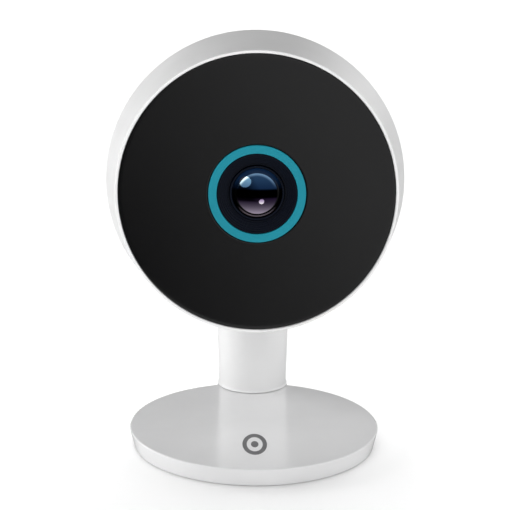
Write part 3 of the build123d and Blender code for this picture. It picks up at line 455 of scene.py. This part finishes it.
# %% Turn the ring
RING_WIDTH = 2.03
RING_ROUND = 0.14
ring_outer = radius_of("accent_ring")
ring_inner = ring_outer - RING_WIDTH
ring_front = ahead_of_rim("accent_ring")[1]
outline = [(ring_outer, 0.0)]
outline += arc((ring_outer - RING_ROUND, ring_front - RING_ROUND), RING_ROUND, 0, 90, 4)
outline += arc((ring_inner + RING_ROUND, ring_front - RING_ROUND), RING_ROUND, 90, 180, 4)
outline += [(ring_inner, 0.0)]
ring = turn("lens_ring", outline, ring_teal)
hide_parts("accent_ring")

# %% [markdown]
# ## The stepped surround
# Light that grazes the rim of a lens must not reach the sensor, so the surround goes down to the
# lens in steps, which trap it. Each step has a tiny rounded nose, and those noses are the faint
# circles seen round the lens.

# %% Turn the surround
STEP_COUNT = 5
STEP_DROP = 0.44
STEP_NOSE = 0.09
HUB_LIP = 0.42
FLANGE = 1.1
BARREL_GAP = 0.25
hub = ring_inner - RING_GAP
barrel = radius_of("lens_barrel")
surround_hole = barrel + BARREL_GAP
surround_top = hub - HUB_LIP
surround_front = ahead_of_rim("lens_bezel")[1]
step_run = (surround_top - surround_hole) / STEP_COUNT
outline = [(hub, 0.0)]
outline += arc((hub - STEP_NOSE, surround_front - STEP_NOSE), STEP_NOSE, 0, 90, 3)
for step in range(STEP_COUNT):
    radius = surround_top - step_run * step
    height = surround_front - STEP_DROP * step
    outline += arc((radius + STEP_NOSE, height - STEP_NOSE), STEP_NOSE, 90, 180, 3)
    outline += [(radius, height - STEP_DROP)]
outline += [(surround_hole, surround_front - STEP_DROP * STEP_COUNT), (surround_hole, -FLANGE)]
outline += [(radius_of("lens_bezel"), -FLANGE), (radius_of("lens_bezel"), 0.0)]
surround = turn("stepped_surround", outline, lens_black)
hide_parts("lens_bezel")

# %% [markdown]
# ## The lens
# What makes a lens look like a lens is contrast: a bright, coloured image of the room on a small
# dome, in a black tube that gives back nothing. Here part of that image is real mirroring and part
# is painted reflection in the coating. The tube is turned first. It screws into its holder, and
# its thread is real grooves, because a bump would leave the silhouette straight.

# %% Turn the lens barrel, with its thread
THREAD_RADIUS = 6.0
THREAD_PITCH = 0.5
THREAD_DEPTH = 0.28
CREST_HALF = 0.06
BARREL_SHOULDER = -3.0
BARREL_CHAMFER = 0.08
MOUTH_CHAMFER = 0.1
BARREL_BORE = 4.6
GLASS_SEAT = -1.5
GLASS_FIT = 0.03
barrel_rear, barrel_front = ahead_of_rim("lens_barrel")
glass_edge = radius_of("front_glass")
glass_room = glass_edge + GLASS_FIT
outline = [(barrel, BARREL_SHOULDER), (barrel, barrel_front - BARREL_CHAMFER)]
outline += [(barrel - BARREL_CHAMFER, barrel_front), (glass_room + MOUTH_CHAMFER, barrel_front)]
outline += [(glass_room, barrel_front - MOUTH_CHAMFER), (glass_room, GLASS_SEAT)]
outline += [(BARREL_BORE, GLASS_SEAT), (BARREL_BORE, barrel_rear)]
turns = int((BARREL_SHOULDER - barrel_rear) / THREAD_PITCH)
for crest in range(turns):
    crest_ahead = barrel_rear + THREAD_PITCH * (crest + 0.5)
    outline += [(THREAD_RADIUS - THREAD_DEPTH, crest_ahead - THREAD_PITCH / 2)]
    outline += [(THREAD_RADIUS, crest_ahead - CREST_HALF), (THREAD_RADIUS, crest_ahead + CREST_HALF)]
outline += [(THREAD_RADIUS - THREAD_DEPTH, BARREL_SHOULDER)]
threaded_barrel = turn("threaded_barrel", outline, lens_black)
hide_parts("lens_barrel")

# %% [markdown]
# ### The coating, with painted reflections
# A coated lens behaves like a coloured mirror: it throws back a little light, and only of one
# colour. So the coating is a metal whose colour changes with the place on the lens, and that
# colour is painted reflection: the crescents and rims that reflections make on a real lens are
# painted into it, while the metal mirrors the real room over them. Outside the coated part the
# painted colours sit on plain dark plastic. Real glass with a coated lens further in would do it
# too, but many thin clear layers over black are noisy in a short render. Two measures steer the
# painted colour: how high a point is, and how far it is from the middle. The top half is painted
# blue with a pale painted rim, the bottom half is painted violet, and between them lies a black
# band with nothing painted, where the lens stays dark.

# %% Node helpers for the coating
def combine(tree, operation, first, second):
    """One math node on two values, each a socket or a number."""
    node = add_node(tree, "ShaderNodeMath", operation=operation)
    for socket, value in zip(node.inputs, (first, second)):
        if isinstance(value, (int, float)):
            socket.default_value = value
        else:
            tree.links.new(value, socket)
    return node.outputs["Value"]


def both(tree, first, second):
    """Strong only where both values are."""
    return combine(tree, "MULTIPLY", first, second)


def fade(tree, source, start_mm, end_mm, smooth=True):
    """Goes from 0 to 1 between two places in millimetres."""
    return spread(tree, source, start_mm * MM, end_mm * MM, smooth=smooth)


def tint(tree, amount, under, over):
    """Adds a colour, as strong as amount, to what is under it."""
    node = add_node(tree, "ShaderNodeMix", data_type="RGBA", blend_type="ADD", clamp_factor=True)
    node.inputs["B"].default_value = (*over, 1)
    tree.links.new(amount, node.inputs["Factor"])
    if under is None:
        node.inputs["A"].default_value = (0, 0, 0, 1)
    else:
        tree.links.new(under, node.inputs["A"])
    return node.outputs["Result"]


# %% [markdown]
# ### Where each painted reflection goes
# Each painted colour has a mask, a value from 0 to 1 over the lens. A mask is a height and a
# distance, faded over a stretch and multiplied together. The stretches are given in millimetres
# on the lens, so a mask can be read like a drawing.

# %% Measure the place on the lens
painted_reflection_coating, tree, shader = new_finish("lens_painted_reflections")
place = add_node(tree, "ShaderNodeTexCoord")
split = add_node(tree, "ShaderNodeSeparateXYZ")
tree.links.new(place.outputs["Object"], split.inputs["Vector"])
flat = add_node(tree, "ShaderNodeCombineXYZ")
tree.links.new(split.outputs["X"], flat.inputs["X"])
tree.links.new(split.outputs["Y"], flat.inputs["Y"])
reach = add_node(tree, "ShaderNodeVectorMath", operation="LENGTH")
tree.links.new(flat.outputs["Vector"], reach.inputs[0])
distance = reach.outputs["Value"]
height = split.outputs["Y"]

# %% Make the masks of the painted reflections
LENS = 4.95  # radius of the coated part, which carries the painted reflections
SOFT = 0.06
BAND_TOP = 1.15
BAND_BOTTOM = -0.95
LOWER_POWER = 2.6
PAINTED_RING_RADIUS = 5.6  # radius of the painted reflected ring below the lens
PAINTED_RING_HALF = 0.3
# Each mask below places painted reflection on the lens.
inside = fade(tree, distance, LENS + SOFT, LENS - SOFT)
outside = combine(tree, "SUBTRACT", 1.0, inside)
above = fade(tree, height, BAND_TOP - 0.25, BAND_TOP + 0.35)
below = fade(tree, height, BAND_BOTTOM + 0.25, BAND_BOTTOM - 0.45)
painted_top_crescent = both(tree, inside, above)
painted_bottom_crescent = both(tree, inside, below)
# Painted reflection: the blue grows brighter towards the top.
painted_top_glow = both(tree, painted_top_crescent, fade(tree, height, 1.0, 4.8))
# Painted highlight: a pale rim round the top of the lens.
painted_rim_highlight = both(tree, inside, fade(tree, distance, 4.2, 4.9))
painted_rim_highlight = both(tree, painted_rim_highlight, fade(tree, height, 1.2, 4.2))
# Painted reflection: navy round the top, outside the coated part.
painted_navy_outside = both(tree, outside, fade(tree, height, 0.6, 4.6))
# Painted reflection: the violet turns pale towards the bottom edge.
bottom_rim_fade = combine(tree, "POWER", fade(tree, height, -0.8, -4.8, smooth=False), LOWER_POWER)
painted_bottom_rim = both(tree, painted_bottom_crescent, bottom_rim_fade)
# Painted reflection: a faint ring of an inner lens, below the coated part.
off_ring = combine(tree, "ABSOLUTE", combine(tree, "SUBTRACT", distance, PAINTED_RING_RADIUS * MM), 0.0)
painted_ring_reflection = both(tree, both(tree, below, outside), fade(tree, off_ring, PAINTED_RING_HALF, 0.0))
painted_ring_reflection = both(tree, painted_ring_reflection, fade(tree, height, -3.0, -5.4))
print("coated radius:", LENS, "dark band from", BAND_BOTTOM, "to", BAND_TOP)

# %% [markdown]
# ### The painted colours
# The colours are added to each other, each as strong as its mask. Most are tiny numbers, because
# a coating gives back only a few hundredths of the light. The two rims are painted highlights,
# bright enough to give back up to half of it.

# %% Lay the painted reflections over each other
# All these colours are painted reflection; the two rims are painted highlights.
colour = None
for mask, over in (
    (painted_top_crescent, (0.012, 0.036, 0.10)),
    (painted_top_glow, (0.02, 0.05, 0.09)),
    (painted_rim_highlight, (0.22, 0.36, 0.52)),
    (painted_navy_outside, (0.0035, 0.013, 0.042)),
    (painted_bottom_crescent, (0.022, 0.012, 0.038)),
    (painted_bottom_rim, (0.50, 0.43, 0.54)),
    (painted_ring_reflection, (0.085, 0.07, 0.095)),
):
    colour = tint(tree, mask, colour, over)
tree.links.new(colour, shader.inputs["Base Color"])
tree.links.new(inside, shader.inputs["Metallic"])
shader.inputs["Specular IOR Level"].default_value = 0.1
tree.links.new(mottled(tree, METAL_GLOSS_SCALE, 0.05, 0.08), shader.inputs["Roughness"])
print("nodes in the coating:", len(tree.nodes))

# %% [markdown]
# ### The front lens
# The lens is a strong dome in front with a shallow hollow behind. A sphere cut by a plane would
# look alike from in front, but the hollow gives the real thickness, and the many rings keep the
# mirror image of the lamps round.

# %% Turn the front lens
GLASS_CROWN = 2.43
GLASS_EDGE_AHEAD = 0.1
GLASS_RINGS = 48
HOLLOW_RADIUS = 4.2
HOLLOW_CROWN = 1.0
HOLLOW_RINGS = 16
outline = [(glass_edge, GLASS_SEAT)]
outline += dome(glass_edge, GLASS_EDGE_AHEAD, GLASS_CROWN, 0.0, GLASS_RINGS)
outline += dome(HOLLOW_RADIUS, GLASS_SEAT, HOLLOW_CROWN, 0.0, HOLLOW_RINGS)[::-1]
glass = turn("front_lens", outline, painted_reflection_coating)
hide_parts("front_glass")

# %% [markdown]
# ## Floor
# The floor is a plain sheet of matt white paper. It is left out of mirror-like reflections, as if
# a dark card stood in front of it, so that the polished face stays dark. The lamps stand close to
# the object, so the paper would turn grey further out: there it gives off a little light itself.

# %% Lay the floor
FLOOR_HALF = 6.0
GLOW_NEAR, GLOW_FAR = 0.4, 1.4  # metres from the object
GLOW = 0.5
paper = moulded("paper", (0.90, 0.90, 0.90), gloss=(0.85, 0.95), grain=(0.5, 0.01), tone=0.003, shine=0.0)
tree = paper.node_tree
shader = tree.nodes["Principled BSDF"]
place = add_node(tree, "ShaderNodeTexCoord")
away = add_node(tree, "ShaderNodeVectorMath", operation="LENGTH")
tree.links.new(place.outputs["Object"], away.inputs[0])
shader.inputs["Emission Color"].default_value = (1, 1, 1, 1)
glow = spread(tree, away.outputs["Value"], GLOW_NEAR, GLOW_FAR, 0.0, GLOW)
tree.links.new(glow, shader.inputs["Emission Strength"])
floor_mesh = bpy.data.meshes.new("floor")
corners = [(x * FLOOR_HALF, y * FLOOR_HALF, 0) for x, y in ((-1, -1), (1, -1), (1, 1), (-1, 1))]
floor_mesh.from_pydata(corners, [], [(0, 1, 2, 3)])
floor_mesh.materials.append(paper)
floor = bpy.data.objects.new("floor", floor_mesh)
bpy.context.scene.collection.objects.link(floor)
floor.visible_glossy = False
print("floor:", 2 * FLOOR_HALF, "m across")

# %% [markdown]
# ## Light
# A white floor has to come out white while the white object on it still shows its shape, and no
# one light does both. So the floor gets a wash of its own: a wide sun that lights only the floor,
# while everything that stands on it still throws a soft shadow there. The sun leans over from
# behind, so the shadow falls in front of the base and darkens towards its edge.

# %% A wash for the floor alone
washed = bpy.data.collections.new("washed")
bpy.context.scene.collection.children.link(washed)
washed.objects.link(floor)
wash_data = bpy.data.lights.new("floor_wash", "SUN")
wash_data.energy = 2.15
wash_data.angle = math.radians(70)
wash = bpy.data.objects.new("floor_wash", wash_data)
wash.rotation_euler = (math.radians(-34), 0, 0)
bpy.context.scene.collection.objects.link(wash)
wash.light_linking.receiver_collection = washed

# %% [markdown]
# ### Sky
# The room round a small object is one big soft light. An even white sky would flatten it, so the
# sky here is brighter to the upper right and in front, dimmer behind, and it shines back up
# from below, as a white table does. The camera itself sees plain white behind the object.

# %% Paint the sky
BRIGHT_SIDE = (0.87, 0.0, 0.49)
sky = bpy.data.worlds.new("sky")
bpy.context.scene.world = sky
sky.use_nodes = True
tree = sky.node_tree
background = tree.nodes["Background"]
background.inputs["Color"].default_value = (1, 1, 1, 1)
place = add_node(tree, "ShaderNodeTexCoord")
slant = add_node(tree, "ShaderNodeVectorMath", operation="DOT_PRODUCT")
slant.inputs[1].default_value = BRIGHT_SIDE
tree.links.new(place.outputs["Generated"], slant.inputs[0])
compass = add_node(tree, "ShaderNodeSeparateXYZ")
tree.links.new(place.outputs["Generated"], compass.inputs["Vector"])
seen = add_node(tree, "ShaderNodeLightPath")
rise = spread(tree, slant.outputs["Value"], -0.36, 0.28, 0.05, 0.56, smooth=False)
front_share = spread(tree, compass.outputs["Y"], 0.5, -0.3, 0.2, 1.0)
ground = spread(tree, compass.outputs["Z"], -0.34, -0.50, 0.0, 0.55)
strength = combine(tree, "MAXIMUM", both(tree, rise, front_share), ground)
strength = combine(tree, "MAXIMUM", strength, seen.outputs["Is Camera Ray"])
tree.links.new(strength, background.inputs["Strength"])
print("nodes in the sky:", len(tree.nodes))

# %% [markdown]
# ### Panels
# Large soft panels stand at both sides, behind and in front. A panel is placed by three numbers
# that are easy to picture in a studio: how far round it stands, how high, and how far off. The
# left one is the strongest, and it draws the bright left edge of the head. The one in front fills
# the shadows, and it is kept out of mirror-like reflections, so that it doesn't turn up as a grey
# patch in the black face.

# %% Lamps
AIM = Vector((-0.16, 0.0, 50.0)) * MM


def towards(azimuth, elevation):
    """The direction of a stand, in degrees. Azimuth 0 is in front, and positive is to the right."""
    turned, raised = math.radians(azimuth), math.radians(elevation)
    level = math.cos(raised)
    return Vector((math.sin(turned) * level, -math.cos(turned) * level, math.sin(raised)))


def lamp(name, azimuth, elevation, distance, width, height, power, shape="RECTANGLE"):
    """A soft lamp that looks at the object."""
    light = bpy.data.lights.new(name, "AREA")
    light.shape = shape
    light.size = width
    light.size_y = height
    light.energy = power
    holder = bpy.data.objects.new(name, light)
    back = towards(azimuth, elevation)
    holder.location = AIM + back * distance
    holder.rotation_mode = "QUATERNION"
    holder.rotation_quaternion = (-back).to_track_quat("-Z", "Y")
    bpy.context.scene.collection.objects.link(holder)
    print(name, "power:", power)
    return holder


lamp("left_panel", -104, 12, 0.75, 0.6, 0.5, 4.0)
lamp("left_back_panel", -140, 20, 0.9, 0.7, 0.5, 0.25)
lamp("right_panel", 94, 15, 0.75, 0.6, 0.5, 1.0)
lamp("right_back_panel", 140, 20, 0.9, 0.7, 0.5, 1.5)
front_panel = lamp("front_panel", -20, 25, 0.9, 0.8, 0.4, 2.9)
front_panel.visible_glossy = False

# %% [markdown]
# ### Catchlights
# The pale spots in a lens are small pictures of lamps. A round lamp high on the left in front and
# a tiny one low on the right make them here. They light only the lens, so they can be as strong
# as the spots need, and nothing else changes.

# %% Catchlights for the lens alone
catching = bpy.data.collections.new("catching")
bpy.context.scene.collection.children.link(catching)
catching.objects.link(glass)
round_lamp = lamp("round_lamp", -44, 34, 0.6, 0.40, 0.34, 1.9, shape="ELLIPSE")
round_lamp.data.color = (1.0, 0.72, 0.46)
small_lamp = lamp("small_lamp", 14.5, -15, 0.12, 0.032, 0.032, 0.045, shape="ELLIPSE")
small_lamp.data.color = (0.8, 1.0, 0.6)
for holder in (round_lamp, small_lamp):
    holder.light_linking.receiver_collection = catching

# %% [markdown]
# ## Camera
# A long lens half a metre away, a little above the head, so the round face stays round. A short
# lens close by would swell the face and shrink the base. The colours are shown as they are, with
# no film curve, because a white floor has to reach full white.

# %% Place the camera
CAMERA_AWAY = 0.5
camera_data = bpy.data.cameras.new("studio_camera")
camera_data.sensor_width = 36.0
camera_data.lens = 139.9
camera_data.clip_start = 0.01
camera = bpy.data.objects.new("studio_camera", camera_data)
back = towards(-0.97, 15.59)
roll = Quaternion((0, 0, 1), math.radians(0.58))
camera.location = AIM + back * CAMERA_AWAY
camera.rotation_mode = "QUATERNION"
camera.rotation_quaternion = (-back).to_track_quat("-Z", "Y") @ roll
bpy.context.scene.collection.objects.link(camera)
bpy.context.scene.camera = camera
bpy.context.scene.view_settings.view_transform = "Standard"
print("camera at:", [round(v, 3) for v in camera.location])
